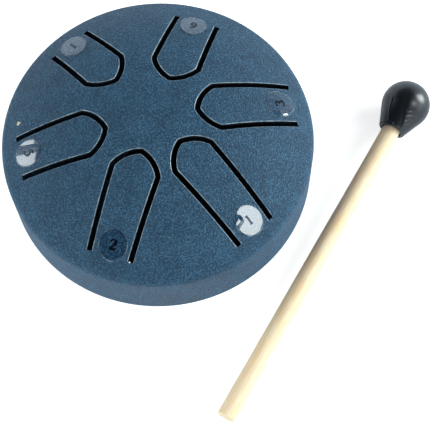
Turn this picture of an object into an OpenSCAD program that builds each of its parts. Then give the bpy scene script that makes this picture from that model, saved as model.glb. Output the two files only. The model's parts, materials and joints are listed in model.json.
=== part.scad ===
// Six-note steel tongue drum with clear number stickers and its rubber-headed mallet.
// Millimetres, +Z up, the player sits on the -Y side, and the origin is the centre of
// the sound hole in the flat underside. The drum stands on feet that reach below it.

/* [Upper shell] */
// Outer diameter of the drum at its side wall
drum_d = 80; // [76:0.5:84]
// Height of the dome's top above the flat underside
drum_h = 37; // [36:0.5:42]
// Thickness of the pressed steel sheet
sheet_t = 1; // [0.8:0.1:1.3]
// Radius of curvature of the crown in the middle of the dome
crown_r = 92; // [85:1:110]
// Distance from the drum's axis at which the crown turns into the steeper flank
crown_reach = 11.3; // [8:0.1:14]
// Radius of curvature of the flank that carries the tongues
flank_r = 62.7; // [58:0.5:70]
// Outer radius of the rounded shoulder between the flank and the side wall
shoulder_r = 2.8; // [2.4:0.1:4]
// Height of the straight side wall below the shoulder
skirt_h = 15.3; // [12:0.1:17]

/* [Lower shell] */
// Height over which the lower shell's wall stands inside the upper shell's wall
lap_h = 4; // [3:0.5:6]
// Bonded gap between the two walls
lap_gap = 0.05; // [0.03:0.01:0.1]
// Outer radius of the bend between the flat underside and the lower shell's wall
pan_corner_r = 8; // [5:0.5:8]
// Diameter of the sound hole in the underside
sound_hole_d = 24; // [18:0.5:28]

/* [Tongues] */
// Width of a tongue at its corners, from the middle of one slot to the middle of the other
tongue_w = 11.8; // [10.5:0.1:12.4]
// How much of its width a tongue loses for each length unit towards its root
tongue_taper_share = 0.056; // [0.03:0.002:0.07]
// Distance from a tongue's tip to its two corners, along the tongue
tip_depth = 5; // [4.5:0.1:5.4]
// Radius of the two bowed edges that meet at the tip
tip_r = 9.4; // [8.6:0.1:11]
// Width of the cut slot round each tongue
slot_w = 1.1; // [0.8:0.05:1.3]
// Clearance between a tongue's root and the shell, where the sheet bends
root_gap = 0.02; // [0.02:0.005:0.03]

/* [Number stickers] */
// Diameter of a clear round sticker, seen from above
sticker_d = 7.4; // [6.5:0.1:8]
// Thickness of the clear film
sticker_t = 0.12; // [0.08:0.01:0.2]
// Thickness of the adhesive between the steel and the film
sticker_gap = 0.04; // [0.03:0.01:0.06]
// Thickness of the printed ink
ink_t = 0.04; // [0.03:0.01:0.08]
// Clearance between the film and the ink
ink_gap = 0.01; // [0.01:0.005:0.02]
// Height of a numeral, seen from above
digit_h = 2.7; // [2.2:0.1:3.2]
// Width of a numeral's strokes
digit_stroke = 0.42; // [0.3:0.02:0.5]

/* [Feet] */
// Diameter of a rubber foot where it sits on the underside
foot_d = 9; // [7:0.5:11]
// Height of a foot
foot_h = 3; // [2:0.5:4]
// Radius of the rounded edge round a foot's lower face
foot_edge_r = 1.5; // [1:0.1:1.8]
// Distance of the feet from the drum's axis
foot_reach = 23; // [21:0.5:25]

/* [Mallet] */
// Diameter of the wooden stick
stick_d = 5; // [4.5:0.1:5.5]
// Distance from the stick's free end to the middle of the head
mallet_l = 100.2; // [90:0.5:115]
// Bevel round the stick's free end
stick_bevel = 0.3; // [0.2:0.1:0.6]
// Diameter of the rubber head's ball
head_d = 13.3; // [12:0.1:15]
// Diameter of the head's collar, where the stick comes out
collar_d = 7.6; // [7.2:0.1:8.4]
// Distance from the middle of the ball to the collar's open end
collar_reach = 8.9; // [8.2:0.1:10]
// Radius of the rolled lip at the collar's open end
lip_r = 0.55; // [0.4:0.05:0.6]
// Depth of the stick's end inside the ball, past the ball's middle
stick_seat = 2; // [0:0.5:3]
// Glue clearance round the stick inside the head
glue_gap = 0.05; // [0.03:0.01:0.1]

/* [Mallet's place beside the drum] */
// Turn of the mallet from the +X axis, in degrees
mallet_turn = 17.9; // [0:0.5:30]
// Distance between the drum's wall and the mallet's axis
mallet_gap = 8.3; // [7.5:0.1:14]
// How far the stick's free end lies behind the drum's middle, along the mallet
butt_back = 49.3; // [40:0.5:60]

/* [Hidden] */
$fn = 180;
drum_r = drum_d/2;
floor_z = -foot_h;
// Overrun of a cut past the faces that it cuts
over = sheet_t;

// Tongues 1, 2, 3, 5, 6 and high 1: angle of the tongue's axis in degrees, then its sideways
// shift and the distances of its tip and its root from the drum's axis, as shares of the
// drum's radius
TONGUE_PLACE_SHARES = [
    [-89.7, 0.001, 0.225, 0.912],
    [-149.8, -0.006, 0.241, 0.88],
    [-30.7, 0.011, 0.269, 0.886],
    [149.5, 0.003, 0.314, 0.882],
    [30, 0.0035, 0.2895, 0.825],
    [90.6, 0.001, 0.3715, 0.857],
];
// Stickers in the same order: angle in degrees, then the distance from the drum's axis and
// the sideways shift, as shares of the drum's radius
STICKER_PLACE_SHARES = [
    [-90, 0.841, 0.016],
    [-150, 0.816, 0],
    [-30, 0.8, 0.006],
    [150, 0.814, -0.012],
    [30, 0.769, 0.0105],
    [90, 0.814, 0.005],
];
FOOT_ANGLES = [-90, 30, 150];

// Upper section: crown, flank and shoulder are arcs that meet without a kink. The crown's
// centre is on the axis, and each later centre lies on the line through the join before it.
crown_sin = crown_reach/crown_r;
crown_cos = sqrt(1 - crown_sin*crown_sin);
flank_centre_x = (crown_r - flank_r)*crown_sin;
shoulder_centre_x = drum_r - shoulder_r;
flank_sin = (shoulder_centre_x - flank_centre_x)/(flank_r - shoulder_r);
flank_cos = sqrt(1 - flank_sin*flank_sin);
crown_centre_z = drum_h - crown_r;
flank_centre_z = crown_centre_z + (crown_r - flank_r)*crown_cos;
shoulder_centre_z = flank_centre_z + (flank_r - shoulder_r)*flank_cos;
skirt_z = shoulder_centre_z - skirt_h;

// Lower shell: a pan whose wall stands inside the upper shell's wall. Its bend ends below
// that wall.
pan_r = drum_r - sheet_t - lap_gap;
pan_top_z = skirt_z + lap_h;
pan_bend_r = min(pan_corner_r, skirt_z);

// Centre of one of the two bowed tip edges, measured from the tip along the tongue and
// sideways: both edges run from the tip to a corner
tip_chord = sqrt(tip_depth*tip_depth + tongue_w*tongue_w/4);
tip_rise = sqrt(tip_r*tip_r - tip_chord*tip_chord/4);
tip_centre_u = tip_depth/2 + tip_rise*tongue_w/2/tip_chord;
tip_centre_v = tongue_w/4 - tip_rise*tip_depth/tip_chord;

// Mallet: it lies on its ball and on the edge of its free end
head_r = head_d/2;
stick_r = stick_d/2;
collar_r = collar_d/2;
mallet_reach = sqrt(mallet_l*mallet_l + stick_r*stick_r);
mallet_tilt = asin(head_r/mallet_reach) - atan2(stick_r, mallet_l);
// The collar's side is a straight line from its lip that touches the ball
collar_l = collar_reach - lip_r;
collar_dist = sqrt(collar_r*collar_r + collar_l*collar_l);
touch_angle = atan2(collar_r, collar_l) + acos(head_r/collar_dist);

// Half of the region under the upper shell's outer surface, moved outwards by grow
module dome_region(grow) {
    crown_x = (crown_r + grow)*crown_sin;
    flank_x = flank_centre_x + (flank_r + grow)*flank_sin;
    intersection() {
        translate([0, crown_centre_z]) circle(crown_r + grow);
        translate([0, skirt_z]) square([crown_x, drum_h]);
    }
    intersection() {
        translate([flank_centre_x, flank_centre_z]) circle(flank_r + grow);
        translate([0, skirt_z]) square([flank_x, drum_h]);
    }
    translate([shoulder_centre_x, shoulder_centre_z]) circle(shoulder_r + grow);
    translate([0, skirt_z]) square([drum_r + grow, skirt_h]);
}

// A layer of the dome between two offsets from the outer surface
module dome_layer(low, high) {
    rotate_extrude() difference() {
        dome_region(high);
        dome_region(low);
        translate([0, skirt_z - over]) square([drum_r + low, over + skirt_h/2]);
    }
}

// The pressed sheet of the upper shell before the slots are cut
module dome_sheet() {
    rotate_extrude() difference() {
        dome_region(0);
        dome_region(-sheet_t);
        translate([0, skirt_z - over]) square([drum_r - sheet_t, over + skirt_h/2]);
    }
}

// Plan of one tongue along +X, grown to each side by grow: its tip and its root lie at the
// distances tip and root, and its sides draw together towards the root
module tongue_plan(tip, root, grow) {
    middle = tip + tip_centre_u;
    half = [for (x = [0, middle, root])
        tongue_w/2 + grow - tongue_taper_share*(x - tip - tip_depth)/2];
    intersection() {
        translate([middle, tip_centre_v]) circle(tip_r + grow);
        translate([middle, -tip_centre_v]) circle(tip_r + grow);
        polygon([[0, -half[0]], [root, -half[2]], [root, half[2]], [0, half[0]]]);
    }
    polygon([[middle, -half[1]], [root, -half[2]], [root, half[2]], [middle, half[1]]]);
}

// Upright block over one tongue's plan, in the tongue's place on the drum
module tongue_block(t, grow, root_cut) {
    rotate(t[0]) translate([0, t[1]*drum_r, skirt_z])
        linear_extrude(drum_h + over - skirt_z)
            tongue_plan(t[2]*drum_r, t[3]*drum_r - root_cut, grow);
}

module top_shell() {
    color("#2F5573") difference() {
        dome_sheet();
        for (t = TONGUE_PLACE_SHARES) tongue_block(t, slot_w/2, 0);
    }
}

module tongue(i) {
    color("#35607F") intersection() {
        dome_sheet();
        tongue_block(TONGUE_PLACE_SHARES[i], -slot_w/2, root_gap);
    }
}

// Half of the region inside the lower shell's outer surface, drawn in by inset
module pan_region(inset) {
    translate([0, inset]) square([pan_r - pan_bend_r, pan_top_z - inset]);
    translate([0, pan_bend_r]) square([pan_r - inset, pan_top_z - pan_bend_r]);
    intersection() {
        translate([pan_r - pan_bend_r, pan_bend_r]) circle(pan_bend_r - inset);
        translate([0, inset]) square([pan_r, pan_bend_r]);
    }
}

module bottom_shell() {
    color("#2C4F6B") difference() {
        rotate_extrude() difference() {
            pan_region(0);
            pan_region(sheet_t);
            translate([0, pan_top_z - over/2]) square([pan_r - sheet_t, over]);
        }
        translate([0, 0, -over]) cylinder(h = sheet_t + 2*over, d = sound_hole_d);
    }
}

// A rubber foot, flat on top where its adhesive holds it to the underside
module foot(i) {
    color("#1A1B1D") rotate(FOOT_ANGLES[i]) translate([foot_reach, 0, floor_z])
        rotate_extrude() {
            square([foot_d/2 - foot_edge_r, foot_h]);
            translate([0, foot_edge_r]) square([foot_d/2, foot_h - foot_edge_r]);
            intersection() {
                translate([foot_d/2 - foot_edge_r, foot_edge_r]) circle(foot_edge_r);
                square([foot_d/2, foot_h]);
            }
        }
}

// Puts what is drawn upright at the origin at sticker i, its top towards the drum's axis
module at_sticker(i) {
    s = STICKER_PLACE_SHARES[i];
    rotate(s[0]) translate([s[1]*drum_r, s[2]*drum_r, 0]) rotate(90) children();
}

module sticker(i) {
    color("#C9D6E2", 0.5) intersection() {
        dome_layer(sticker_gap, sticker_gap + sticker_t);
        at_sticker(i) cylinder(h = drum_h + over, d = sticker_d);
    }
}

// Numerals, drawn about their middle: an upper and a lower bowl share one stroke's width
digit_fn = 48;
upper_bowl_share = 0.27;
serif_share = 0.7;
digit_top = digit_h/2;
upper_bowl_r = upper_bowl_share*digit_h;
lower_bowl_r = (digit_h + digit_stroke)/2 - upper_bowl_r;
upper_bowl_y = digit_top - upper_bowl_r;
lower_bowl_y = lower_bowl_r - digit_top;

module bar(x, y, w, h) {
    translate([x, y]) square([w, h]);
}

// A bar between two points, as thick as a stroke
module slant(x1, y1, x2, y2) {
    translate([x1, y1]) rotate(atan2(y2 - y1, x2 - x1)) translate([0, -digit_stroke/2])
        square([norm([x2 - x1, y2 - y1]), digit_stroke]);
}

// A bowl of outer radius r about the height y, open between two angles
module bowl(r, y, from, to) {
    mid = (from + to)/2;
    half = (to - from)/2;
    reach = 2*r;
    translate([0, y]) difference() {
        circle(r, $fn = digit_fn);
        circle(r - digit_stroke, $fn = digit_fn);
        polygon([
            [0, 0],
            reach*[cos(from), sin(from)],
            reach*[cos(mid), sin(mid)]/cos(half/2),
            reach*[cos(to), sin(to)],
        ]);
    }
}

module digit_1() {
    bar(-digit_stroke/2, -digit_top, digit_stroke, digit_h);
    bar(-1.5*digit_stroke, -digit_top, 3*digit_stroke, serif_share*digit_stroke);
    slant(-1.5*digit_stroke, digit_top - 1.5*digit_stroke, 0, digit_top - digit_stroke/2);
}

module digit_2() {
    turn = 35;
    mid_r = upper_bowl_r - digit_stroke/2;
    bowl(upper_bowl_r, upper_bowl_y, 175, 360 - turn);
    slant(mid_r*cos(turn), upper_bowl_y - mid_r*sin(turn),
        -mid_r, -digit_top + digit_stroke/2);
    bar(-upper_bowl_r, -digit_top, 2*upper_bowl_r, digit_stroke);
}

module digit_3() {
    bowl(upper_bowl_r, upper_bowl_y, 150, 255);
    bowl(lower_bowl_r, lower_bowl_y, 105, 210);
}

module digit_5() {
    stem_x = -lower_bowl_r + digit_stroke/2;
    bowl(lower_bowl_r, lower_bowl_y, 140, 210);
    bar(stem_x, lower_bowl_y + lower_bowl_r/4, digit_stroke, digit_top - lower_bowl_y - lower_bowl_r/4);
    bar(stem_x, digit_top - digit_stroke, 2*lower_bowl_r - digit_stroke, digit_stroke);
}

module digit_6() {
    ring_mid = lower_bowl_r - digit_stroke/2;
    translate([0, lower_bowl_y]) difference() {
        circle(lower_bowl_r, $fn = digit_fn);
        circle(lower_bowl_r - digit_stroke, $fn = digit_fn);
    }
    slant(-ring_mid, lower_bowl_y, upper_bowl_r/2, digit_top - digit_stroke/2);
}

module digit(i) {
    if (i == 0 || i == 5) digit_1();
    if (i == 1) digit_2();
    if (i == 2) digit_3();
    if (i == 3) digit_5();
    if (i == 4) digit_6();
}

module numeral(i) {
    ink_low = sticker_gap + sticker_t + ink_gap;
    color("#14171C") intersection() {
        dome_layer(ink_low, ink_low + ink_t);
        at_sticker(i) linear_extrude(drum_h + over) digit(i);
    }
}

// Puts what is drawn along +Z from the stick's free end at the mallet's place
module at_mallet() {
    rotate(mallet_turn)
        translate([-butt_back, -drum_r - mallet_gap, floor_z + stick_r*cos(mallet_tilt)])
            rotate([0, 90 - mallet_tilt, 0]) children();
}

module mallet_stick() {
    color("#E8CFA6") at_mallet() rotate_extrude() polygon([
        [0, 0],
        [stick_r - stick_bevel, 0],
        [stick_r, stick_bevel],
        [stick_r, mallet_l + stick_seat],
        [0, mallet_l + stick_seat],
    ]);
}

module mallet_head() {
    color("#15171B") at_mallet() translate([0, 0, mallet_l]) rotate_extrude() difference() {
        union() {
            intersection() {
                circle(head_r);
                translate([0, -head_r]) square([head_r, head_d]);
            }
            polygon([
                [0, -collar_l],
                [collar_r, -collar_l],
                head_r*[sin(touch_angle), -cos(touch_angle)],
                [0, 0],
            ]);
            translate([collar_r - lip_r, -collar_l]) circle(lip_r);
            translate([0, -collar_reach]) square([collar_r - lip_r, 2*lip_r]);
        }
        translate([0, -collar_reach - over])
            square([stick_r + glue_gap, collar_reach + over + stick_seat + glue_gap]);
    }
}

top_shell();
bottom_shell();
foot(0);  // foot_front
foot(1);  // foot_right
foot(2);  // foot_left
tongue(0);  // tongue_1
tongue(1);  // tongue_2
tongue(2);  // tongue_3
tongue(3);  // tongue_5
tongue(4);  // tongue_6
tongue(5);  // tongue_high_1
sticker(0);  // sticker_1
sticker(1);  // sticker_2
sticker(2);  // sticker_3
sticker(3);  // sticker_5
sticker(4);  // sticker_6
sticker(5);  // sticker_high_1
numeral(0);  // numeral_1
numeral(1);  // numeral_2
numeral(2);  // numeral_3
numeral(3);  // numeral_5
numeral(4);  // numeral_6
numeral(5);  // numeral_high_1
mallet_stick();
mallet_head();
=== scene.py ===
import json
import math

import bmesh
import bpy
from mathutils import Matrix, Vector, geometry


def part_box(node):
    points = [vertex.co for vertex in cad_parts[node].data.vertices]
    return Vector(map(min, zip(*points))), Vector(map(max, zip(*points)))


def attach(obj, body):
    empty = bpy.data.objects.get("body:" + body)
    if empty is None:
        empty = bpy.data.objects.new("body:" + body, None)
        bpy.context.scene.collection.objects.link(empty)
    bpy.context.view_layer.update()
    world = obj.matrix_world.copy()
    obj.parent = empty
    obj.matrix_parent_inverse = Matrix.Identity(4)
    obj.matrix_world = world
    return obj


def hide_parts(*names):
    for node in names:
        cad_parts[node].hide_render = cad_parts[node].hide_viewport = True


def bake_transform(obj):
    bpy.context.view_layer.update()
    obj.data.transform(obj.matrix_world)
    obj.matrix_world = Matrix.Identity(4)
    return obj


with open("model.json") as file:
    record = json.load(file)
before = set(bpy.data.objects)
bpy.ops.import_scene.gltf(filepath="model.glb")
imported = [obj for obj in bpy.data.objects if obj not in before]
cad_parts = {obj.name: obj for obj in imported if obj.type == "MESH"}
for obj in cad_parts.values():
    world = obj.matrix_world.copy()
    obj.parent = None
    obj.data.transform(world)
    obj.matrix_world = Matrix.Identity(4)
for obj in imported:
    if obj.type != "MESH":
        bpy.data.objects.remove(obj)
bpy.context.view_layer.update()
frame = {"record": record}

# Lower shell: a shallow pan pressed from 1 mm mild steel, with a round sound hole punched in its
# flat underside. It is powder-coated like the upper shell, and its wall is bonded inside that
# shell's wall.
MM = 0.001
sheet_t = 1 * MM
punched_edge_r = 0.25 * MM
pan_bend_r = 8 * MM
_, pan_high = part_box("bottom_shell")
pan_r = pan_high.x
pan_top = pan_high.z
sound_hole = next(m for m in frame["record"]["mounts"] if m["name"] == "sound_hole")
sound_hole_r = sound_hole["dims"]["r_mm"] * MM
# Steps in a full turn, the bend in degrees past which an edge looks sharp, and how close two points
# of a mesh are when they count as one
TURN_STEPS = 288
SHARP_ANGLE = 28
SAME_POINT = 0.0001 * MM


def linear(hex_colour):
    """The linear colour of an sRGB hex value such as "35566F", with alpha 1."""
    parts = [int(hex_colour[i:i + 2], 16) / 255 for i in (0, 2, 4)]
    return tuple(c / 12.92 if c <= 0.04045 else ((c + 0.055) / 1.055) ** 2.4 for c in parts) + (1,)


def add_node(tree, kind, settings=None, links=None):
    """Adds a node. Settings name its own properties or its inputs, and links feed its inputs."""
    node = tree.nodes.new(kind)
    for name, value in (settings or {}).items():
        if isinstance(name, str) and hasattr(node, name):
            setattr(node, name, value)
        else:
            node.inputs[name].default_value = value
    for name, socket in (links or {}).items():
        tree.links.new(socket, node.inputs[name])
    return node


def blank_material(name):
    """A new material with an empty node tree, as (material, tree)."""
    material = bpy.data.materials.new(name)
    material.use_nodes = True
    material.node_tree.nodes.clear()
    return material, material.node_tree


def arc(centre, radius, start, end, steps):
    """Points along an arc in a section: angles are in degrees, from outwards (0) to up (90)."""
    angles = [math.radians(start + (end - start) * i / steps) for i in range(steps + 1)]
    return [(centre[0] + radius * math.cos(a), centre[1] + radius * math.sin(a)) for a in angles]


def turned(section, closed, steps=TURN_STEPS):
    """Turns a section, given as (distance from the axis, height) points, once round the Z axis."""
    bm = bmesh.new()
    verts = [bm.verts.new((x, 0, z)) for x, z in section]
    edges = [bm.edges.new(pair) for pair in zip(verts, verts[1:])]
    if closed:
        edges.append(bm.edges.new((verts[-1], verts[0])))
    bmesh.ops.spin(
        bm, geom=verts + edges, cent=(0, 0, 0), axis=(0, 0, 1), angle=2 * math.pi,
        steps=steps, use_merge=True,
    )
    bmesh.ops.remove_doubles(bm, verts=bm.verts, dist=SAME_POINT)
    bmesh.ops.recalc_face_normals(bm, faces=bm.faces)
    return bm


def piece_from(bm, name, materials, sharp_angle=SHARP_ANGLE):
    """Makes a shown object of a bmesh, smooth but for the edges that bend by more than an angle."""
    mesh = bpy.data.meshes.new(name)
    bm.to_mesh(mesh)
    bm.free()
    mesh.shade_smooth()
    mesh.set_sharp_from_angle(angle=math.radians(sharp_angle))
    for material in materials:
        mesh.materials.append(material)
    piece = bpy.data.objects.new(name, mesh)
    bpy.context.scene.collection.objects.link(piece)
    return piece


# Powder coat: polyester powder baked on steel. The melted powder leaves a fine pebbled skin with a
# low sheen, and light and dark grains show in it. Real powder is finer than 0.1 mm, too fine to show
# here, so the grains and their relief are drawn coarser.
GRAIN_SIZE = 0.4 * MM
MOTTLE_SIZE = 5 * MM
MOTTLE_SHARE = 0.22
pebble_h = 0.42 * MM
powder_coat, tree = blank_material("powder_coat_baked_polyester_on_steel")
coords = add_node(tree, "ShaderNodeTexCoord").outputs["Object"]


def coat_grains(tree, coords, dark, middle, light):
    """The coat's colour with its grains and mottle in the given tones, and the grains' height."""
    grain = add_node(
        tree, "ShaderNodeTexNoise",
        {"Scale": 1 / GRAIN_SIZE, "Detail": 2.0, "Roughness": 0.6}, {"Vector": coords},
    )
    mottle = add_node(
        tree, "ShaderNodeTexNoise",
        {"Scale": 1 / MOTTLE_SIZE, "Detail": 3.0, "Roughness": 0.55}, {"Vector": coords},
    )
    tone = add_node(
        tree, "ShaderNodeMath", {"operation": "MULTIPLY_ADD", 1: MOTTLE_SHARE},
        {0: mottle.outputs["Fac"], 2: grain.outputs["Fac"]},
    )
    colour = add_node(tree, "ShaderNodeValToRGB", {}, {"Fac": tone.outputs[0]})
    stops = colour.color_ramp.elements
    stops[0].position, stops[0].color = 0.475, linear(dark)
    stops[1].position, stops[1].color = 0.755, linear(light)
    stops.new(0.61).color = linear(middle)
    return colour, grain


coat_colour, grain = coat_grains(tree, coords, "11334D", "1B4560", "396786")
coat_bump = add_node(
    tree, "ShaderNodeBump", {"Strength": 1.0, "Distance": pebble_h},
    {"Height": grain.outputs["Fac"]},
)
# One chip in the coat, near the root of tongue 5, shows the cream primer. The grains fray its edge.
chip_at = (-24.48 * MM, 25.61 * MM, 28.1 * MM)
chip_r = 0.6 * MM
chip_fray = 0.8 * MM
chip_blur = 0.1 * MM
from_chip = add_node(
    tree, "ShaderNodeVectorMath", {"operation": "DISTANCE", 1: chip_at}, {0: coords},
)
ragged = add_node(
    tree, "ShaderNodeMath", {"operation": "MULTIPLY_ADD", 1: chip_fray},
    {0: grain.outputs["Fac"], 2: from_chip.outputs["Value"]},
)
chipped = add_node(
    tree, "ShaderNodeMapRange",
    {"From Min": chip_r + chip_fray / 2 - chip_blur, "From Max": chip_r + chip_fray / 2,
     "To Min": 1.0, "To Max": 0.0},
    {"Value": ragged.outputs[0]},
)
# Places of the colour sockets in a Mix node, which has others for numbers and directions
MIX_COLOURS = {"factor": 0, "a": 6, "b": 7, "result": 2}
coat_or_chip = add_node(
    tree, "ShaderNodeMix", {"data_type": "RGBA", MIX_COLOURS["b"]: linear("E8D3AC")},
    {MIX_COLOURS["factor"]: chipped.outputs[0], MIX_COLOURS["a"]: coat_colour.outputs["Color"]},
)
coat_shader = add_node(
    tree, "ShaderNodeBsdfPrincipled", {"Roughness": 0.46, "IOR": 1.5, "Specular IOR Level": 0.3},
    {"Base Color": coat_or_chip.outputs[MIX_COLOURS["result"]],
     "Normal": coat_bump.outputs["Normal"]},
)
add_node(tree, "ShaderNodeOutputMaterial", {}, {"Surface": coat_shader.outputs["BSDF"]})

pan_section = (
    arc((sound_hole_r + punched_edge_r, punched_edge_r), punched_edge_r, 180, 270, 4)
    + arc((pan_r - pan_bend_r, pan_bend_r), pan_bend_r, -90, 0, 16)
    + arc((pan_r - punched_edge_r, pan_top - punched_edge_r), punched_edge_r, 0, 90, 3)
    + arc((pan_r - sheet_t + punched_edge_r, pan_top - punched_edge_r), punched_edge_r, 90, 180, 3)
    + arc((pan_r - pan_bend_r, pan_bend_r), pan_bend_r - sheet_t, 0, -90, 16)
    + arc((sound_hole_r + punched_edge_r, sheet_t - punched_edge_r), punched_edge_r, 90, 180, 4)
)
lower_shell = piece_from(turned(pan_section, closed=True), "lower_shell", [powder_coat])
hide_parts("bottom_shell")
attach(lower_shell, "drum")

# Feet: three round pads moulded in black rubber, stuck under the pan with their own adhesive.
# Their lower edge is well rounded.
foot_edge_r = 1.5 * MM
foot_top_edge_r = 0.15 * MM
# Moulded rubber: matt, with a fine spark-eroded grain that greys its black. The grain is drawn
# coarser than the real one, so that it shows.
RUBBER_GRAIN = 0.25 * MM
black_rubber, tree = blank_material("rubber_matt_moulded")
coords = add_node(tree, "ShaderNodeTexCoord").outputs["Object"]
rubber_grain = add_node(
    tree, "ShaderNodeTexNoise", {"Scale": 1 / RUBBER_GRAIN, "Detail": 3.0}, {"Vector": coords},
)
rubber_colour = add_node(tree, "ShaderNodeValToRGB", {}, {"Fac": rubber_grain.outputs["Fac"]})
rubber_colour.color_ramp.elements[0].position = 0.3
rubber_colour.color_ramp.elements[0].color = linear("141517")
rubber_colour.color_ramp.elements[1].position = 0.75
rubber_colour.color_ramp.elements[1].color = linear("2C2D2F")
rubber_bump = add_node(
    tree, "ShaderNodeBump", {"Strength": 0.6, "Distance": 0.03 * MM},
    {"Height": rubber_grain.outputs["Fac"]},
)
rubber_shader = add_node(
    tree, "ShaderNodeBsdfPrincipled", {"Roughness": 0.72, "IOR": 1.52},
    {"Base Color": rubber_colour.outputs["Color"], "Normal": rubber_bump.outputs["Normal"]},
)
add_node(tree, "ShaderNodeOutputMaterial", {}, {"Surface": rubber_shader.outputs["BSDF"]})

for side in ("front", "right", "left"):
    foot_low, foot_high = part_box("foot_" + side)
    foot_r = (foot_high.x - foot_low.x) / 2
    foot_section = (
        [(0, foot_low.z)]
        + arc((foot_r - foot_edge_r, foot_low.z + foot_edge_r), foot_edge_r, -90, 0, 8)
        + arc((foot_r - foot_top_edge_r, foot_high.z - foot_top_edge_r), foot_top_edge_r, 0, 90, 3)
        + [(0, foot_high.z)]
    )
    bm = turned(foot_section, closed=False, steps=72)
    foot_middle = (foot_low + foot_high) / 2
    bmesh.ops.translate(bm, verts=bm.verts, vec=(foot_middle.x, foot_middle.y, 0))
    foot = piece_from(bm, "rubber_foot_" + side, [black_rubber])
    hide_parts("foot_" + side)
    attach(foot, "drum")

# Upper shell: a dome with a round shoulder and a straight side wall, pressed from 1 mm steel. Six
# slots are laser-cut through it before it is coated, so each tongue stays one sheet with the dome
# at its root. The coat draws thin over the cut edges, and their pale colour is partly a painted
# highlight.
shell_low, shell_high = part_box("top_shell")
drum_r = 40 * MM
drum_top = shell_high.z
skirt_z = shell_low.z
crown_r = 92 * MM
crown_reach = 11.3 * MM
flank_r = 62.7 * MM
shoulder_r = 2.8 * MM
# The crown, the flank and the shoulder are arcs that meet without a kink: each later centre lies
# on the line through the join before it.
crown_angle = math.asin(crown_reach / crown_r)
crown_z = drum_top - crown_r
flank_x = (crown_r - flank_r) * math.sin(crown_angle)
flank_z = crown_z + (crown_r - flank_r) * math.cos(crown_angle)
shoulder_x = drum_r - shoulder_r
flank_angle = math.asin((shoulder_x - flank_x) / (flank_r - shoulder_r))
shoulder_z = flank_z + (flank_r - shoulder_r) * math.cos(flank_angle)
crown_end = 90 - math.degrees(crown_angle)
flank_end = 90 - math.degrees(flank_angle)


def dome_height(distance, lift=0.0):
    """Height of the dome's outer surface, raised by lift, at a distance from the drum's axis."""
    if distance < crown_reach:
        return crown_z + math.sqrt((crown_r + lift) ** 2 - distance ** 2)
    return flank_z + math.sqrt((flank_r + lift) ** 2 - (distance - flank_x) ** 2)


def dome_section(inset):
    """The dome's section from the pole to the foot of the shoulder, drawn in by inset."""
    crown = arc((0, crown_z), crown_r - inset, 90, crown_end, 10)
    flank = arc((flank_x, flank_z), flank_r - inset, crown_end, flank_end, 24)
    shoulder = arc((shoulder_x, shoulder_z), shoulder_r - inset, flank_end, 0, 10)
    return crown + flank[1:] + shoulder[1:]


wall_x = drum_r - sheet_t
rim_z = skirt_z + punched_edge_r
sheet_section = (
    dome_section(0)
    + [(drum_r, (shoulder_z + rim_z) / 2)]
    + arc((drum_r - punched_edge_r, rim_z), punched_edge_r, 0, -90, 4)
    + arc((wall_x + punched_edge_r, rim_z), punched_edge_r, -90, -180, 4)
    + dome_section(sheet_t)[::-1]
)
dome_sheet = turned(sheet_section, closed=False)

# Slot wall: laser-cut steel under a thin coat, with the upright lines that the beam leaves. Its
# near-black colour is painted shade, because hardly any light gets in.
beam_line_w = 0.2 * MM
BEAM_LINE_STRETCH_SHARE = 0.15
cut_wall, tree = blank_material("steel_laser_cut_wall_painted_shade")
coords = add_node(tree, "ShaderNodeTexCoord").outputs["Object"]
wall_mapping = add_node(
    tree, "ShaderNodeMapping", {"Scale": (1, 1, BEAM_LINE_STRETCH_SHARE)}, {"Vector": coords},
)
striae = add_node(
    tree, "ShaderNodeTexNoise", {"Scale": 1 / beam_line_w, "Detail": 2.0},
    {"Vector": wall_mapping.outputs["Vector"]},
)
wall_beam_lines_and_painted_shade = add_node(tree, "ShaderNodeValToRGB", {}, {"Fac": striae.outputs["Fac"]})
wall_beam_lines_and_painted_shade.color_ramp.elements[0].position = 0.3
wall_beam_lines_and_painted_shade.color_ramp.elements[0].color = linear("08090B")
wall_beam_lines_and_painted_shade.color_ramp.elements[1].position = 0.8
wall_beam_lines_and_painted_shade.color_ramp.elements[1].color = linear("14181B")
wall_shader = add_node(
    tree, "ShaderNodeBsdfPrincipled", {"Roughness": 0.6},
    {"Base Color": wall_beam_lines_and_painted_shade.outputs["Color"]},
)
add_node(tree, "ShaderNodeOutputMaterial", {}, {"Surface": wall_shader.outputs["BSDF"]})

# Slot edge: the coat pulls back from the rounded edge as it melts, which leaves it thin and pale,
# more in some stretches than in others. The pale colour is also a painted highlight along the edge.
thin_and_highlit_stretch = 1.2 * MM
cut_edge, tree = blank_material("powder_coat_thin_over_cut_edge_painted_highlight")
coords = add_node(tree, "ShaderNodeTexCoord").outputs["Object"]
thin_and_highlit_spots = add_node(
    tree, "ShaderNodeTexNoise", {"Scale": 1 / thin_and_highlit_stretch, "Detail": 4.0, "Roughness": 0.65},
    {"Vector": coords},
)
edge_thin_coat_and_painted_highlight = add_node(tree, "ShaderNodeValToRGB", {}, {"Fac": thin_and_highlit_spots.outputs["Fac"]})
edge_thin_coat_and_painted_highlight.color_ramp.elements[0].position = 0.38
edge_thin_coat_and_painted_highlight.color_ramp.elements[0].color = linear("4E6F86")
edge_thin_coat_and_painted_highlight.color_ramp.elements[1].position = 0.66
edge_thin_coat_and_painted_highlight.color_ramp.elements[1].color = linear("BACDD9")
edge_shader = add_node(
    tree, "ShaderNodeBsdfPrincipled", {"Roughness": 0.35},
    {"Base Color": edge_thin_coat_and_painted_highlight.outputs["Color"]},
)
add_node(tree, "ShaderNodeOutputMaterial", {}, {"Surface": edge_shader.outputs["BSDF"]})

slot_w = 1.4 * MM
cut_edge_r = 0.18 * MM
tongue_w = 11.8 * MM
tongue_taper_share = 0.056
tip_depth = 5 * MM
tip_r = 9.4 * MM
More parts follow.
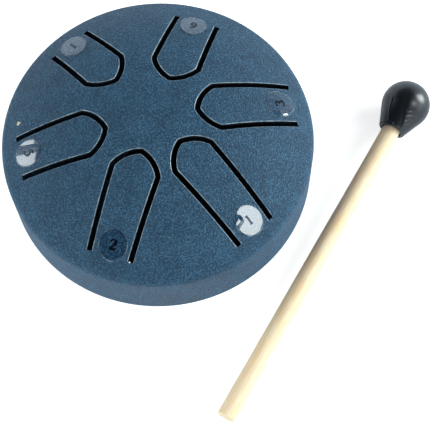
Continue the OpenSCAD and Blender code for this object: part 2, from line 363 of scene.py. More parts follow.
# How far a cutting block reaches past the dome
above = 0.1 * MM
# A cut face whose normal rises or falls by less than this is a slot's wall, and by more, its edge
WALL_SLOPE = 0.15
# Each tongue's number: angle of its axis in degrees, then its sideways shift and the distances of
# its tip and its root from the drum's axis, as shares of the drum's radius
TONGUE_PLACE_SHARES = {
    "1": (-89.7, 0.001, 0.225, 0.912),
    "2": (-149.8, -0.006, 0.241, 0.88),
    "3": (-30.7, 0.011, 0.269, 0.886),
    "5": (149.5, 0.003, 0.314, 0.882),
    "6": (30, 0.0035, 0.2895, 0.825),
    "high_1": (90.6, 0.001, 0.3715, 0.857),
}
# Two bowed edges meet at the tip. This is the centre of one, from the tip along the tongue and
# sideways; the other's is its mirror image.
tip_chord = math.hypot(tip_depth, tongue_w / 2)
tip_rise = math.sqrt(tip_r ** 2 - (tip_chord / 2) ** 2)
tip_centre_u = tip_depth / 2 + tip_rise * tongue_w / 2 / tip_chord
tip_centre_v = tongue_w / 4 - tip_rise * tip_depth / tip_chord


def tongue_outline(tip, root, grow):
    """Closed plan of a tongue along +X, grown to each side by grow, with its root kept."""
    middle = tip + tip_centre_u
    radius = tip_r + grow
    half_tip = tongue_w / 2 + grow + tongue_taper_share * tip_depth / 2
    half_root = half_tip - tongue_taper_share * (root - tip) / 2
    corners = geometry.intersect_line_sphere_2d(
        (tip, half_tip), (root, half_root), (middle, tip_centre_v), radius,
    )
    corner = min((c for c in corners if c), key=lambda c: c.x)
    first = math.degrees(math.asin(-tip_centre_v / radius))
    last = math.degrees(math.asin((corner.y - tip_centre_v) / radius))
    bowed = arc((0, tip_centre_v), radius, first, last, 12)
    tip_half = [(middle - x, y) for x, y in bowed]
    side_steps = 22
    side = [
        (corner.x + (root - corner.x) * i / side_steps,
         corner.y + (half_root - corner.y) * i / side_steps)
        for i in range(1, side_steps + 1)
    ]
    upper = tip_half + side
    return upper + [(x, -y) for x, y in upper[:0:-1]]


COATED = [powder_coat, cut_wall, cut_edge]


def slot_block(bm, place, grow, flare):
    """Adds the block over one tongue's plan. It opens by flare where it meets the dome's surface."""
    angle, shift, tip, root = place
    turn = Matrix.Rotation(math.radians(angle), 4, "Z")
    levels = [(0, None, skirt_z)]
    for degrees in (0, 30, 60):
        a = math.radians(degrees)
        levels.append((1 - math.cos(a), -cut_edge_r * (1 - math.sin(a)), None))
    past = (above - levels[-1][1]) / cut_edge_r * math.tan(math.radians(60))
    levels.append((levels[-1][0] + past, above, None))
    levels.append((levels[-1][0], None, drum_top + above))
    rings = []
    for opening, lift, height in levels:
        ring = []
        for x, y in tongue_outline(tip * drum_r, root * drum_r, grow + flare * opening):
            spot = turn @ Vector((x, y + shift * drum_r, 0))
            spot.z = height if lift is None else dome_height(spot.length) + lift
            ring.append(bm.verts.new(spot))
        edges = [bm.edges.new(pair) for pair in zip(ring, ring[1:] + ring[:1])]
        if rings:
            bmesh.ops.bridge_loops(bm, edges=rings[-1] + edges)
        rings.append(edges)
    for edges in (rings[0], rings[-1]):
        bmesh.ops.holes_fill(bm, edges=edges, sides=0)
    bm.normal_update()
    for face in bm.faces:
        is_wall = abs(face.normal.z) < WALL_SLOPE
        face.material_index = COATED.index(cut_wall if is_wall else cut_edge)


def cut_piece(piece, block, operation):
    """Cuts a piece with a block that is then removed."""
    modifier = piece.modifiers.new("laser_cut", "BOOLEAN")
    modifier.operation = operation
    modifier.solver = "MANIFOLD"
    modifier.material_mode = "TRANSFER"
    modifier.object = block
    graph = bpy.context.evaluated_depsgraph_get()
    cut_mesh = bpy.data.meshes.new_from_object(piece.evaluated_get(graph), depsgraph=graph)
    piece.modifiers.clear()
    piece.data = cut_mesh
    bpy.data.objects.remove(block)


def even_normals(piece):
    """Lets the large faces set the shading next to a cut, so that the dome stays smooth there."""
    piece.data.shade_smooth()
    piece.data.set_sharp_from_angle(angle=math.radians(SHARP_ANGLE))
    weighted = piece.modifiers.new("even_shading", "WEIGHTED_NORMAL")
    weighted.keep_sharp = True
    weighted.weight = 100


upper_shell = piece_from(dome_sheet.copy(), "upper_shell", COATED)
bm = bmesh.new()
for place in TONGUE_PLACE_SHARES.values():
    slot_block(bm, place, slot_w / 2, cut_edge_r)
bmesh.ops.recalc_face_normals(bm, faces=bm.faces)
cut_piece(upper_shell, piece_from(bm, "slots", COATED), "DIFFERENCE")

# Spatter: a bead of melted steel left by the laser at one slot's end, bright and round, with faint
# patches of oxide
oxide_patch = 0.15 * MM
bare_steel, tree = blank_material("steel_melted_bead")
coords = add_node(tree, "ShaderNodeTexCoord").outputs["Object"]
oxide = add_node(
    tree, "ShaderNodeTexNoise", {"Scale": 1 / oxide_patch, "Detail": 2.0}, {"Vector": coords},
)
bead_colour = add_node(tree, "ShaderNodeValToRGB", {}, {"Fac": oxide.outputs["Fac"]})
bead_colour.color_ramp.elements[0].color = linear("B4B8BB")
bead_colour.color_ramp.elements[1].color = linear("E6E8E9")
bead_shader = add_node(
    tree, "ShaderNodeBsdfPrincipled", {"Metallic": 1.0, "Roughness": 0.28},
    {"Base Color": bead_colour.outputs["Color"]},
)
add_node(tree, "ShaderNodeOutputMaterial", {}, {"Surface": bead_shader.outputs["BSDF"]})
bead_r = 0.26 * MM
bead_at = Vector((-27.96 * MM, -21.94 * MM, 0))
bead_at.z = dome_height(bead_at.length)
bm = bmesh.new()
bmesh.ops.create_uvsphere(
    bm, u_segments=16, v_segments=10, radius=bead_r, matrix=Matrix.Translation(bead_at),
)
for face in bm.faces:
    face.material_index = len(COATED)
bm.from_mesh(upper_shell.data)
bm.to_mesh(upper_shell.data)
bm.free()
upper_shell.data.materials.append(bare_steel)
even_normals(upper_shell)
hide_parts("top_shell")
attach(upper_shell, "drum")

# Tongues: the six strips of the dome between the slots. Each is one sheet with the dome and bends
# at its root when it is struck.
for number, place in TONGUE_PLACE_SHARES.items():
    name = "tongue_" + number
    bm = bmesh.new()
    slot_block(bm, place, -slot_w / 2, -cut_edge_r)
    bmesh.ops.recalc_face_normals(bm, faces=bm.faces)
    tongue = piece_from(dome_sheet.copy(), "sheet_" + name, COATED)
    cut_piece(tongue, piece_from(bm, "block", COATED), "INTERSECT")
    even_normals(tongue)
    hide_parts(name)
    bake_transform(tongue)
dome_sheet.free()

# Number stickers: clear PET film, punched round and stuck near each tongue's root. The film is
# glossy, follows the dome with slight waves, and lifts a little at its edge in places.
sticker_r = 3.7 * MM
film_t = 0.12 * MM
glue_t = 0.04 * MM
# Stickers by number: angle in degrees, then the distance from the drum's axis and the sideways
# shift, as shares of the drum's radius
STICKER_PLACE_SHARES = {
    "1": (-90, 0.841, 0.016),
    "2": (-150, 0.816, 0),
    "3": (-30, 0.8, 0.006),
    "5": (150, 0.814, -0.012),
    "6": (30, 0.769, 0.0105),
    "high_1": (90, 0.814, 0.005),
}
# Clear PET, stuck down without air: the eye sees the coat's grains through it, deeper and without
# their own sheen, under one glossy and slightly wavy layer. The material draws film and coat as one
# opaque stack, because a see-through film over the coat renders with speckles.
film_wave = 1.1 * MM
clear_film, tree = blank_material("pet_film_clear_gloss")
coords = add_node(tree, "ShaderNodeTexCoord").outputs["Object"]
wet_colour, _ = coat_grains(tree, coords, "142A43", "1D3D58", "345A77")
film_waves = add_node(
    tree, "ShaderNodeTexNoise", {"Scale": 1 / film_wave, "Detail": 1.0}, {"Vector": coords},
)
film_bump = add_node(
    tree, "ShaderNodeBump", {"Strength": 0.4, "Distance": 0.01 * MM},
    {"Height": film_waves.outputs["Fac"]},
)
film_shader = add_node(
    tree, "ShaderNodeBsdfPrincipled",
    {"Roughness": 0.46, "Specular IOR Level": 0.0, "Coat Weight": 1.0, "Coat Roughness": 0.08,
     "Coat IOR": 1.75},
    {"Base Color": wet_colour.outputs["Color"], "Coat Normal": film_bump.outputs["Normal"]},
)
add_node(tree, "ShaderNodeOutputMaterial", {}, {"Surface": film_shader.outputs["BSDF"]})


def at_sticker(number):
    """Where a sticker lies seen from above, with the top of its numeral towards the drum's axis."""
    angle, distance, shift = STICKER_PLACE_SHARES[number]
    return (
        Matrix.Rotation(math.radians(angle), 4, "Z")
        @ Matrix.Translation((distance * drum_r, shift * drum_r, 0))
        @ Matrix.Rotation(math.radians(90), 4, "Z")
    )


# Punched edge: crushed PET scatters light, whitish in some stretches and clear in others. The
# whitish rim is partly a painted highlight.
crushed_and_highlit_stretch = 2.4 * MM
film_edge, tree = blank_material("pet_film_punched_edge")
coords = add_node(tree, "ShaderNodeTexCoord").outputs["Object"]
crushed_and_highlit_spots = add_node(
    tree, "ShaderNodeTexNoise", {"Scale": 1 / crushed_and_highlit_stretch, "Detail": 2.0}, {"Vector": coords},
)
rim_whitening_and_painted_highlight = add_node(
    tree, "ShaderNodeMapRange",
    {"From Min": 0.4, "From Max": 0.65, "To Min": 0.0, "To Max": 0.16},
    {"Value": crushed_and_highlit_spots.outputs["Fac"]},
)
film_edge_shader = add_node(
    tree, "ShaderNodeBsdfPrincipled", {"Base Color": linear("BCD3E8"), "Roughness": 0.3},
    {"Alpha": rim_whitening_and_painted_highlight.outputs[0]},
)
add_node(tree, "ShaderNodeOutputMaterial", {}, {"Surface": film_edge_shader.outputs["BSDF"]})

film_rim_w = 0.3 * MM
ripple_pitch = 2.3 * MM
ripple_h = 0.004 * MM


def ramp(value, low, high):
    """Smooth step from 0 at low to 1 at high."""
    share = min(max((value - low) / (high - low), 0), 1)
    return share * share * (3 - 2 * share)


def film_lift(number, x, y):
    """How far the film stands off its glue at x to the right and y up from its middle, in metres.

    The places and widths in here are in millimetres, and the raised stretches' angles in degrees.
    """
    x, y = x / MM, y / MM
    pitch = ripple_pitch / MM
    lift = ripple_h * (1 + math.sin(x / pitch * 6 + y) * math.cos(y / pitch * 5 - x))
    if number == "1":
        # An air pocket to the upper left, steep on its lower side and shallow towards the rim
        near = ramp(y, 0.83 + 0.35 * x, 0.95 + 0.05 * x)
        far = 1 - ramp(y, 1.3 + 0.1 * x, 3.9 + 0.1 * x)
        lift += 0.2 * MM * min(near, far) * (1 - ramp(x, -2.2, -0.6))
    if number == "5":
        # The left edge has come off and curls up
        lift += 0.1 * MM * ramp(-x + 0.25 * y, 2.0, 3.7)
    if number in ("2", "3"):
        # A raised stretch just inside the left edge, where the film was pressed down last
        middle, width, high = (215, 22, 0.05) if number == "2" else (184, 30, 0.11)
        away = abs((math.degrees(math.atan2(y, x)) - middle + 180) % 360 - 180)
        reach = math.hypot(x, y)
        rise = ramp(reach, 1.8, 3.0) * (1 - ramp(reach, 3.0, 3.65))
        lift += high * MM * rise * (1 - ramp(away, width / 2, width))
    return lift


def lay_on_dome(bm, number, base):
    """Lays a flat film or print, drawn round the origin, on the dome at its sticker, base above it."""
    heights = {vert: vert.co.z + film_lift(number, vert.co.x, vert.co.y) for vert in bm.verts}
    bmesh.ops.transform(bm, matrix=at_sticker(number), verts=bm.verts)
    for vert, height in heights.items():
        vert.co.z = dome_height(math.hypot(vert.co.x, vert.co.y), base + height)


# Rings of faces on the flat part of a film, and the angles of the points on its rounded rim
FILM_RINGS = 18
rim_angles = [math.radians(a) for a in range(15, 91, 15)]
flat_r = sticker_r - film_rim_w
film_section = (
    [(flat_r * i / FILM_RINGS, film_t) for i in range(FILM_RINGS + 1)]
    + [(flat_r + film_rim_w * math.sin(a), film_t * math.cos(a)) for a in rim_angles]
    + [(flat_r * i / FILM_RINGS, 0) for i in range(FILM_RINGS, -1, -1)]
)
for number in STICKER_PLACE_SHARES:
    bm = turned(film_section, closed=False, steps=144)
    for face in bm.faces:
        face.material_index = int(face.calc_center_median().xy.length > flat_r)
    lay_on_dome(bm, number, glue_t)
    film = piece_from(bm, "film_" + number, [clear_film, film_edge], sharp_angle=60)
    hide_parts("sticker_" + number)
    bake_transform(film)

# Numerals: black screen ink on the stickers, in a bookish serif face with thick and thin strokes,
# their tops towards the drum's axis.
ink_t = 0.04 * MM
ink_gap = 0.01 * MM
ink_base = glue_t + film_t + ink_gap
numeral_h = 2.35 * MM
# The printed face is this much wider than the strokes below, and its pen this much broader
NUMERAL_STRETCH = 1.25
PEN_GAIN = 1.6
# Screen ink: a thin glossy black with bluish pinholes, which mirrors cool light as the film does
pinhole_size = 0.2 * MM
black_ink, tree = blank_material("ink_screen_printed_black")
coords = add_node(tree, "ShaderNodeTexCoord").outputs["Object"]
pinholes = add_node(
    tree, "ShaderNodeTexNoise", {"Scale": 1 / pinhole_size, "Detail": 2.0}, {"Vector": coords},
)
ink_colour = add_node(tree, "ShaderNodeValToRGB", {}, {"Fac": pinholes.outputs["Fac"]})
ink_colour.color_ramp.elements[0].position = 0.55
ink_colour.color_ramp.elements[0].color = linear("060A12")
ink_colour.color_ramp.elements[1].position = 0.8
ink_colour.color_ramp.elements[1].color = linear("141C2A")
ink_shader = add_node(
    tree, "ShaderNodeBsdfPrincipled",
    {"Roughness": 0.18, "IOR": 1.5, "Specular IOR Level": 0.34,
     "Specular Tint": linear("BCD6FF")},
    {"Base Color": ink_colour.outputs["Color"]},
)
add_node(tree, "ShaderNodeOutputMaterial", {}, {"Surface": ink_shader.outputs["BSDF"]})

# Strokes of each numeral about its middle, as shares of its height: (x, y, half the pen's width)
ONE_SHARES = [
    [(0.03, 0.46, 0.07), (0.03, 0.0, 0.07), (0.03, -0.46, 0.07)],
    [(0.02, 0.44, 0.04), (-0.07, 0.37, 0.03), (-0.15, 0.32, 0.02)],
    [(-0.12, -0.47, 0.02), (0.03, -0.465, 0.025), (0.18, -0.47, 0.02)],
]
TWO_SHARES = [
    [(-0.22, 0.22, 0.07), (-0.18, 0.37, 0.05), (0.0, 0.46, 0.04), (0.18, 0.35, 0.085),
     (0.19, 0.15, 0.1), (0.0, -0.13, 0.055), (-0.24, -0.42, 0.04)],
    [(-0.26, -0.43, 0.05), (-0.1, -0.43, 0.075), (0.12, -0.43, 0.08), (0.24, -0.39, 0.05),
     (0.28, -0.25, 0.025)],
]
THREE_SHARES = [
    [(-0.22, 0.27, 0.07), (-0.15, 0.41, 0.045), (0.0, 0.46, 0.035), (0.16, 0.36, 0.08),
     (0.13, 0.16, 0.07), (-0.05, 0.04, 0.03)],
    [(-0.05, 0.04, 0.03), (0.13, -0.03, 0.05), (0.21, -0.2, 0.1), (0.1, -0.41, 0.055),
     (-0.08, -0.47, 0.035), (-0.22, -0.37, 0.065)],
]
FIVE_SHARES = [
    [(-0.13, 0.42, 0.05), (0.06, 0.43, 0.08), (0.24, 0.45, 0.035)],
    [(-0.14, 0.44, 0.03), (-0.17, 0.26, 0.03), (-0.19, 0.08, 0.03)],
    [(-0.19, 0.08, 0.03), (0.0, 0.15, 0.045), (0.17, 0.03, 0.085), (0.19, -0.19, 0.1),
     (0.06, -0.42, 0.055), (-0.1, -0.47, 0.035), (-0.23, -0.38, 0.065)],
]
SIX_SHARES = [
    [(0.22, 0.47, 0.03), (0.02, 0.36, 0.05), (-0.16, 0.12, 0.085), (-0.19, -0.15, 0.1),
     (-0.11, -0.37, 0.07), (0.02, -0.46, 0.04), (0.15, -0.36, 0.08), (0.18, -0.16, 0.095),
     (0.11, 0.03, 0.05), (0.0, 0.07, 0.03), (-0.13, -0.02, 0.03)],
]
NUMERAL_SHARES = {
    "1": ONE_SHARES, "2": TWO_SHARES, "3": THREE_SHARES,
    "5": FIVE_SHARES, "6": SIX_SHARES, "high_1": ONE_SHARES,
}
# Steps of the pen from one point of a stroke to the next
PEN_STEPS = 6


def pen_path(stroke):
    """A smooth run of (x, y, half width) points through a stroke's own points, in metres."""
    scale = (numeral_h * NUMERAL_STRETCH, numeral_h, numeral_h * PEN_GAIN)
    points = [Vector(a * b for a, b in zip(p, scale)) for p in stroke]
    points = [2 * points[0] - points[1]] + points + [2 * points[-1] - points[-2]]
    path = []
    for a, b, c, d in zip(points, points[1:], points[2:], points[3:]):
        for i in range(PEN_STEPS):
            t = i / PEN_STEPS
            path.append(
                ((2 * b) + (c - a) * t + (2 * a - 5 * b + 4 * c - d) * t ** 2
                 + (3 * b - a - 3 * c + d) * t ** 3) / 2
            )
    return path + [points[-2]]


def flat_numeral(strokes):
    """The numeral's strokes as flat ribbons in a bmesh, facing up."""
    bm = bmesh.new()
    for stroke in strokes:
        path = pen_path(stroke)
        ribbon = []
        for i, spot in enumerate(path):
            along = path[min(i + 1, len(path) - 1)] - path[max(i - 1, 0)]
            across = Vector((-along.y, along.x, 0)).normalized() * spot.z
            middle = Vector((spot.x, spot.y, 0))
            ribbon.append([bm.verts.new(middle + across * side) for side in (1, 0, -1)])
        for near, far in zip(ribbon, ribbon[1:]):
            for k in (0, 1):
                bm.faces.new((near[k], near[k + 1], far[k + 1], far[k]))
    return bm


for number, strokes in NUMERAL_SHARES.items():
    bm = flat_numeral(strokes)
    top = bmesh.ops.extrude_face_region(bm, geom=bm.faces[:])["geom"]
    bmesh.ops.translate(
        bm, verts=[v for v in top if isinstance(v, bmesh.types.BMVert)], vec=(0, 0, ink_t),
    )
    bmesh.ops.recalc_face_normals(bm, faces=bm.faces)
    lay_on_dome(bm, number, ink_base)
    printed = piece_from(bm, "ink_numeral_" + number, [black_ink], sharp_angle=50)
    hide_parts("numeral_" + number)
    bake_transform(printed)

# Mallet stick: a plain birch dowel, sawn and lightly bevelled at its free end. Its other end is
# glued into the rubber head. The length mallet_l is from its free end to the middle of the head's
# ball.
mallet_l = 100.2 * MM
head_r = 13.3 / 2 * MM
stick_r = 2.5 * MM
stick_seat = 2 * MM
stick_bevel = 0.3 * MM
STICK_RINGS = 40
# Before its turn the mallet lies along X, with its free end this far left of the drum's middle and
# its axis this far in front of the drum's wall
mallet_turn = math.radians(17.9)
butt_left = 49.3 * MM
mallet_gap = 8.3 * MM
head_low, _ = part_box("mallet_head")
floor_z = head_low.z
# It rests on the ball and on the stick's free end, which tips it by this angle
mallet_tilt = math.asin(head_r / math.hypot(mallet_l, stick_r)) - math.atan2(stick_r, mallet_l)
at_mallet = (
    Matrix.Rotation(mallet_turn, 4, "Z")
    @ Matrix.Translation(
        (-butt_left, -drum_r - mallet_gap, floor_z + stick_r * math.cos(mallet_tilt))
    )
    @ Matrix.Rotation(math.pi / 2 - mallet_tilt, 4, "Y")
)
# Sanded birch: pale cream wood with faint streaks along the grain. Light enters it and comes out
# warmer, so its shaded side stays cream. Real pores are too fine to show, so the streaks are drawn
# coarser.
streak_w = 0.5 * MM
STREAK_STRETCH = 14
light_reach = 4 * MM
stick_wood, tree = blank_material("birch_dowel_sanded")
coords = add_node(tree, "ShaderNodeTexCoord").outputs["Object"]
along = add_node(
    tree, "ShaderNodeMapping",
    {"vector_type": "TEXTURE", "Location": at_mallet.translation,
     "Rotation": at_mallet.to_euler(), "Scale": (1, 1, STREAK_STRETCH)},
    {"Vector": coords},
)
streaks = add_node(
    tree, "ShaderNodeTexNoise", {"Scale": 1 / streak_w, "Detail": 4.0, "Roughness": 0.6},
    {"Vector": along.outputs["Vector"]},
)
wood_colour = add_node(tree, "ShaderNodeValToRGB", {}, {"Fac": streaks.outputs["Fac"]})
wood_colour.color_ramp.elements[0].position = 0.3
wood_colour.color_ramp.elements[0].color = linear("FCD5A2")
wood_colour.color_ramp.elements[1].position = 0.65
wood_colour.color_ramp.elements[1].color = linear("FFEDD4")
wood_shader = add_node(
    tree, "ShaderNodeBsdfPrincipled",
    {"Roughness": 0.6, "Subsurface Weight": 0.5, "Subsurface Radius": (1.0, 0.6, 0.3),
     "Subsurface Scale": light_reach},
    {"Base Color": wood_colour.outputs["Color"]},
)
add_node(tree, "ShaderNodeOutputMaterial", {}, {"Surface": wood_shader.outputs["BSDF"]})

stick_section = (
    [(0, 0), (stick_r - stick_bevel, 0), (stick_r, stick_bevel)]
    + [(stick_r, stick_bevel + mallet_l * i / STICK_RINGS) for i in range(1, STICK_RINGS + 1)]
    + [(0, mallet_l + stick_seat)]
)
bm = turned(stick_section, closed=False, steps=64)
bmesh.ops.transform(bm, matrix=at_mallet, verts=bm.verts)
stick = piece_from(bm, "birch_dowel", [stick_wood])
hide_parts("mallet_stick")
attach(stick, "mallet")

# Mallet head: a cap moulded in black rubber, with a ball end and a collar that ends in a rolled
# lip. It is pushed over the stick's end and glued.

# Rubber from a polished mould: near black, with broad soft highlights that its slightly uneven skin
# breaks up
skin_wave = 0.8 * MM
glossy_rubber, tree = blank_material("rubber_glossy_moulded")
coords = add_node(tree, "ShaderNodeTexCoord").outputs["Object"]
skin = add_node(
    tree, "ShaderNodeTexNoise", {"Scale": 1 / skin_wave, "Detail": 3.0}, {"Vector": coords},
)
head_bump = add_node(
    tree, "ShaderNodeBump", {"Strength": 0.3, "Distance": 0.03 * MM},
    {"Height": skin.outputs["Fac"]},
)
head_colour = add_node(tree, "ShaderNodeValToRGB", {}, {"Fac": skin.outputs["Fac"]})
head_colour.color_ramp.elements[0].color = linear("0F1318")
head_colour.color_ramp.elements[1].color = linear("1A2028")
head_shader = add_node(
    tree, "ShaderNodeBsdfPrincipled", {"Roughness": 0.31, "IOR": 1.5},
    {"Base Color": head_colour.outputs["Color"], "Normal": head_bump.outputs["Normal"]},
)
add_node(tree, "ShaderNodeOutputMaterial", {}, {"Surface": head_shader.outputs["BSDF"]})

# The collar ends this far from the ball's middle
collar_reach = 8.9 * MM
collar_r = 3.8 * MM
lip_r = 0.55 * MM
glue_gap = 0.05 * MM
collar_l = collar_reach - lip_r
# The collar widens in a cone, which goes over into the ball without a kink at this angle
touch = math.atan2(collar_r, collar_l) + math.acos(head_r / math.hypot(collar_r, collar_l))
bore_r = stick_r + glue_gap
bore_end = mallet_l + stick_seat + glue_gap
head_section = (
    [(0, bore_end), (bore_r, bore_end)]
    + arc((collar_r - lip_r, mallet_l - collar_l), lip_r, -180, 0, 12)
)
ball_section = arc((0, mallet_l), head_r, math.degrees(touch) - 90, 90, 90)
cone_start = head_section[-1]
cone_end = ball_section[0]
CONE_STEPS = 36
head_section += [
    (cone_start[0] + (cone_end[0] - cone_start[0]) * i / CONE_STEPS,
     cone_start[1] + (cone_end[1] - cone_start[1]) * i / CONE_STEPS)
    for i in range(1, CONE_STEPS)
]
bm = turned(head_section + ball_section, closed=False, steps=240)

# Lines on the head: the angle round the stick in degrees and the height from the ball's middle in
# millimetres. The mould's halves meet along the seam, and a flow line runs beside it.
HEAD_SEAM = [(-179, 2.0), (-177, 0.4), (-167, -4.1), (-148, -7.2), (-146, -9.5)]
HEAD_FLOW_LINE = [(-215, -2.3), (-215, -5.0), (-206, -8.0), (-182, -8.3)]


def off_line(line, angle, height, radius):
    """Distance in mm from a line on the head, and whether the spot lies to the line's right."""
    spot = Vector((math.radians(angle) * radius, height))
    best = (math.inf, 0)
    for first, second in zip(line, line[1:]):
        a, b = (Vector((math.radians(x) * radius, y)) for x, y in (first, second))
        share = min(max((spot - a).dot(b - a) / (b - a).length_squared, 0), 1)
        away = spot - a.lerp(b, share)
        best = min(best, (away.length, 1 if away.x > 0 else -1))
    return best


# Heights and widths in millimetres: a step across the seam, creases beside it, and the ridge that
# the flow line is. The bore and the far end of the ball have none of them.
seam_step = 0.12
crease_h = 0.05
crease_pitch = 1.0
ridge_h = 0.22
ridge_w = 0.18
for vert in bm.verts:
    radius = vert.co.xy.length / MM
    height = (vert.co.z - mallet_l) / MM
    if radius < collar_r / MM - 0.3 or height > 3:
        continue
    # Angles run from -360 to 0, so that neither line crosses the jump
    angle = math.degrees(math.atan2(vert.co.y, vert.co.x))
    if angle > 0:
        angle -= 360
    distance, side = off_line(HEAD_SEAM, angle, height, radius)
    across = distance * side
    lift = seam_step * ramp(across, -0.2, 0.1) * (1 - ramp(across, 0.3, 3.2))
    creased = ramp(across, 0.1, 0.5) * (1 - ramp(across, 1.6, 3.4))
    creased *= ramp(height, -8.3, -7.2) * (1 - ramp(height, -4.4, -2.2))
    lift += crease_h * creased * math.sin(2 * math.pi * (height - 0.7 * across) / crease_pitch)
    distance, _ = off_line(HEAD_FLOW_LINE, angle, height, radius)
    lift += ridge_h * math.exp(-((distance / ridge_w) ** 2))
    lift *= 1 - ramp(height, 0.6, 2.6)
    vert.co.xy *= 1 + lift / radius
bmesh.ops.transform(bm, matrix=at_mallet, verts=bm.verts)
head = piece_from(bm, "rubber_head", [glossy_rubber])
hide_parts("mallet_head")
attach(head, "mallet")

# Stage: a white floor under the drum's feet that turns up into a white backdrop all round. The
# camera and what mirrors see it glow, while the lamps light the drum.
floor_r = 1.2
backdrop_h = 0.8
backdrop_bend_r = 0.08
fade_end = 1.4
# The glow grows between these distances from the drum's middle: nearer, the lamps' light adds to it
glow_near = 0.1
glow_far = 0.35
# The floor is painted dark under the drum, as painted shade, and white beside it, as shares of the
# drum's radius
under_drum_share = 0.6
beside_drum_share = 0.95
floor_white, tree = blank_material("stage_white")
light_path = add_node(tree, "ShaderNodeLightPath")
mirror_ray = add_node(
    tree, "ShaderNodeMath", {"operation": "MAXIMUM"},
    {0: light_path.outputs["Is Glossy Ray"], 1: light_path.outputs["Is Transmission Ray"]},
)
from_axis = add_node(
    tree, "ShaderNodeVectorMath", {"operation": "LENGTH"},
    {0: add_node(tree, "ShaderNodeTexCoord").outputs["Object"]},
)
outside_drum = add_node(
    tree, "ShaderNodeMapRange",
    {"interpolation_type": "SMOOTHSTEP", "From Min": under_drum_share * drum_r,
     "From Max": beside_drum_share * drum_r},
    {"Value": from_axis.outputs["Value"]},
)
camera_glow = add_node(
    tree, "ShaderNodeMapRange",
    {"From Min": glow_near, "From Max": glow_far, "To Min": 0.72, "To Max": 1.0},
    {"Value": from_axis.outputs["Value"]},
)
# A reflection doesn't clip at white as the picture does, so it gets less glow
mirror_glow = add_node(
    tree, "ShaderNodeMapRange",
    {"From Min": glow_near, "From Max": glow_far, "To Min": 0.36, "To Max": 1.0},
    {"Value": from_axis.outputs["Value"]},
)
# The backdrop's reflection dims towards its top edge, as if it curved out of the light there
edge_fade = add_node(
    tree, "ShaderNodeMapRange",
    {"interpolation_type": "SMOOTHSTEP", "From Min": floor_r, "From Max": fade_end,
     "To Min": 1.0, "To Max": 0.05},
    {"Value": from_axis.outputs["Value"]},
)
mirror_part = add_node(
    tree, "ShaderNodeMath", {"operation": "MULTIPLY"},
    {0: mirror_glow.outputs[0], 1: edge_fade.outputs[0]},
)
camera_part = add_node(
    tree, "ShaderNodeMath", {"operation": "MULTIPLY"},
    {0: light_path.outputs["Is Camera Ray"], 1: camera_glow.outputs[0]},
)
both_parts = add_node(
    tree, "ShaderNodeMath", {"operation": "MULTIPLY_ADD"},
    {0: mirror_ray.outputs[0], 1: mirror_part.outputs[0], 2: camera_part.outputs[0]},
)
glow = add_node(
    tree, "ShaderNodeMath", {"operation": "MULTIPLY"},
    {0: both_parts.outputs[0], 1: outside_drum.outputs[0]},
)
# Painted shade: no light reaches the floor below the real drum, so its colour is painted dark there,
# where the slots let it be seen
stage_colour_with_painted_shade = add_node(tree, "ShaderNodeValToRGB", {}, {"Fac": outside_drum.outputs[0]})
stage_colour_with_painted_shade.color_ramp.elements[0].color = linear("1C1C1C")
stage_colour_with_painted_shade.color_ramp.elements[1].color = (0.88, 0.88, 0.88, 1)
# The room's light is cool, which shows in what the films mirror
glow_colour = add_node(
    tree, "ShaderNodeMix",
    {"data_type": "RGBA", MIX_COLOURS["a"]: (1, 1, 1, 1), MIX_COLOURS["b"]: linear("CFE6FF")},
    {MIX_COLOURS["factor"]: mirror_ray.outputs[0]},
)
stage_shader = add_node(
    tree, "ShaderNodeBsdfPrincipled", {"Roughness": 0.9, "Specular IOR Level": 0.0},
    {"Base Color": stage_colour_with_painted_shade.outputs["Color"],
     "Emission Color": glow_colour.outputs[MIX_COLOURS["result"]],
     "Emission Strength": glow.outputs[0]},
)
add_node(tree, "ShaderNodeOutputMaterial", {}, {"Surface": stage_shader.outputs["BSDF"]})
# The glow lights nothing, so the renderer doesn't treat it as a lamp
floor_white.cycles.emission_sampling = "NONE"

stage_section = (
    [(0, floor_z), (floor_r - backdrop_bend_r, floor_z)]
    + arc((floor_r - backdrop_bend_r, floor_z + backdrop_bend_r), backdrop_bend_r, -90, 0, 12)
    + [(floor_r, floor_z + backdrop_h)]
)
stage_piece = piece_from(turned(stage_section, closed=False, steps=96), "stage", [floor_white])

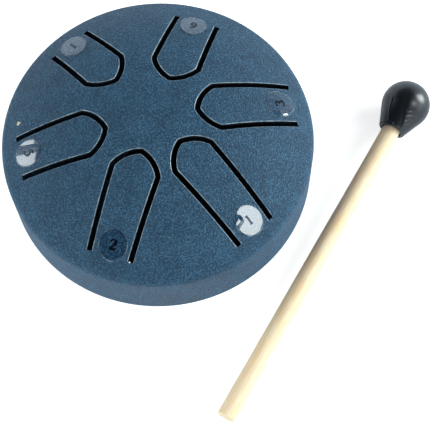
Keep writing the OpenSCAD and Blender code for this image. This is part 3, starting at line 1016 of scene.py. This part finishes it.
# Sky above the stage: white to the camera, and a faint even light on the drum
world = bpy.data.worlds.new("studio")
bpy.context.scene.world = world
world.use_nodes = True
tree = world.node_tree
tree.nodes.clear()
light_path = add_node(tree, "ShaderNodeLightPath")
sky_strength = add_node(
    tree, "ShaderNodeMapRange", {"To Min": 0.07, "To Max": 1.0},
    {"Value": light_path.outputs["Is Camera Ray"]},
)
sky = add_node(
    tree, "ShaderNodeBackground", {"Color": (1, 1, 1, 1)}, {"Strength": sky_strength.outputs[0]},
)
add_node(tree, "ShaderNodeOutputWorld", {}, {"Surface": sky.outputs[0]})

# Softboxes: azimuth and elevation in degrees, width and height in metres, and the radiance that
# they are seen at, where 1 is white. Their light is a little short of red, as daylight is.
SOFTBOX_DISTANCE = 0.9
DAYLIGHT = (0.93, 1.0, 1.0)
SOFTBOXES = {
    "key": (-66, 46, 0.28, 0.26, 8.6),
    "front_low": (-55, 20, 0.5, 0.4, 1.6),
    "front_left": (-138, 27, 0.25, 0.22, 2.9),
    "right_low": (-26, 19, 0.34, 0.38, 18.5),
    "left_low": (151, 24.5, 0.9, 0.34, 5.7),
}
for name, (azimuth, elevation, width, height, radiance) in SOFTBOXES.items():
    light = bpy.data.lights.new(name, "AREA")
    light.shape = "RECTANGLE"
    light.color = DAYLIGHT
    light.size = width
    light.size_y = height
    light.energy = radiance * math.pi * width * height
    lamp = bpy.data.objects.new(name, light)
    lamp.matrix_world = (
        Matrix.Rotation(math.radians(azimuth + 90), 4, "Z")
        @ Matrix.Rotation(math.radians(90 - elevation), 4, "X")
        @ Matrix.Translation((0, 0, SOFTBOX_DISTANCE))
    )
    lamp.visible_camera = False
    bpy.context.scene.collection.objects.link(lamp)

# Camera: its lens and place put the drum's outline and slots where the photograph has them. The
# angles, in degrees, turn it from looking along +Y, dip it below level and roll it.
SENSOR_W = 36
LENS = 103.88
camera_at = (-79.16 * MM, -114.60 * MM, 314.56 * MM)
CAMERA_TURN = -40.669
CAMERA_DIP = 68.142
CAMERA_ROLL = -1.513
camera = bpy.data.objects.new("camera", bpy.data.cameras.new("camera"))
camera.data.sensor_width = SENSOR_W
camera.data.lens = LENS
camera.matrix_world = (
    Matrix.Translation(camera_at)
    @ Matrix.Rotation(math.radians(CAMERA_TURN), 4, "Z")
    @ Matrix.Rotation(math.radians(90 - CAMERA_DIP), 4, "X")
    @ Matrix.Rotation(math.radians(CAMERA_ROLL), 4, "Z")
)
bpy.context.scene.collection.objects.link(camera)
bpy.context.scene.camera = camera
bpy.context.scene.view_settings.view_transform = "Standard"
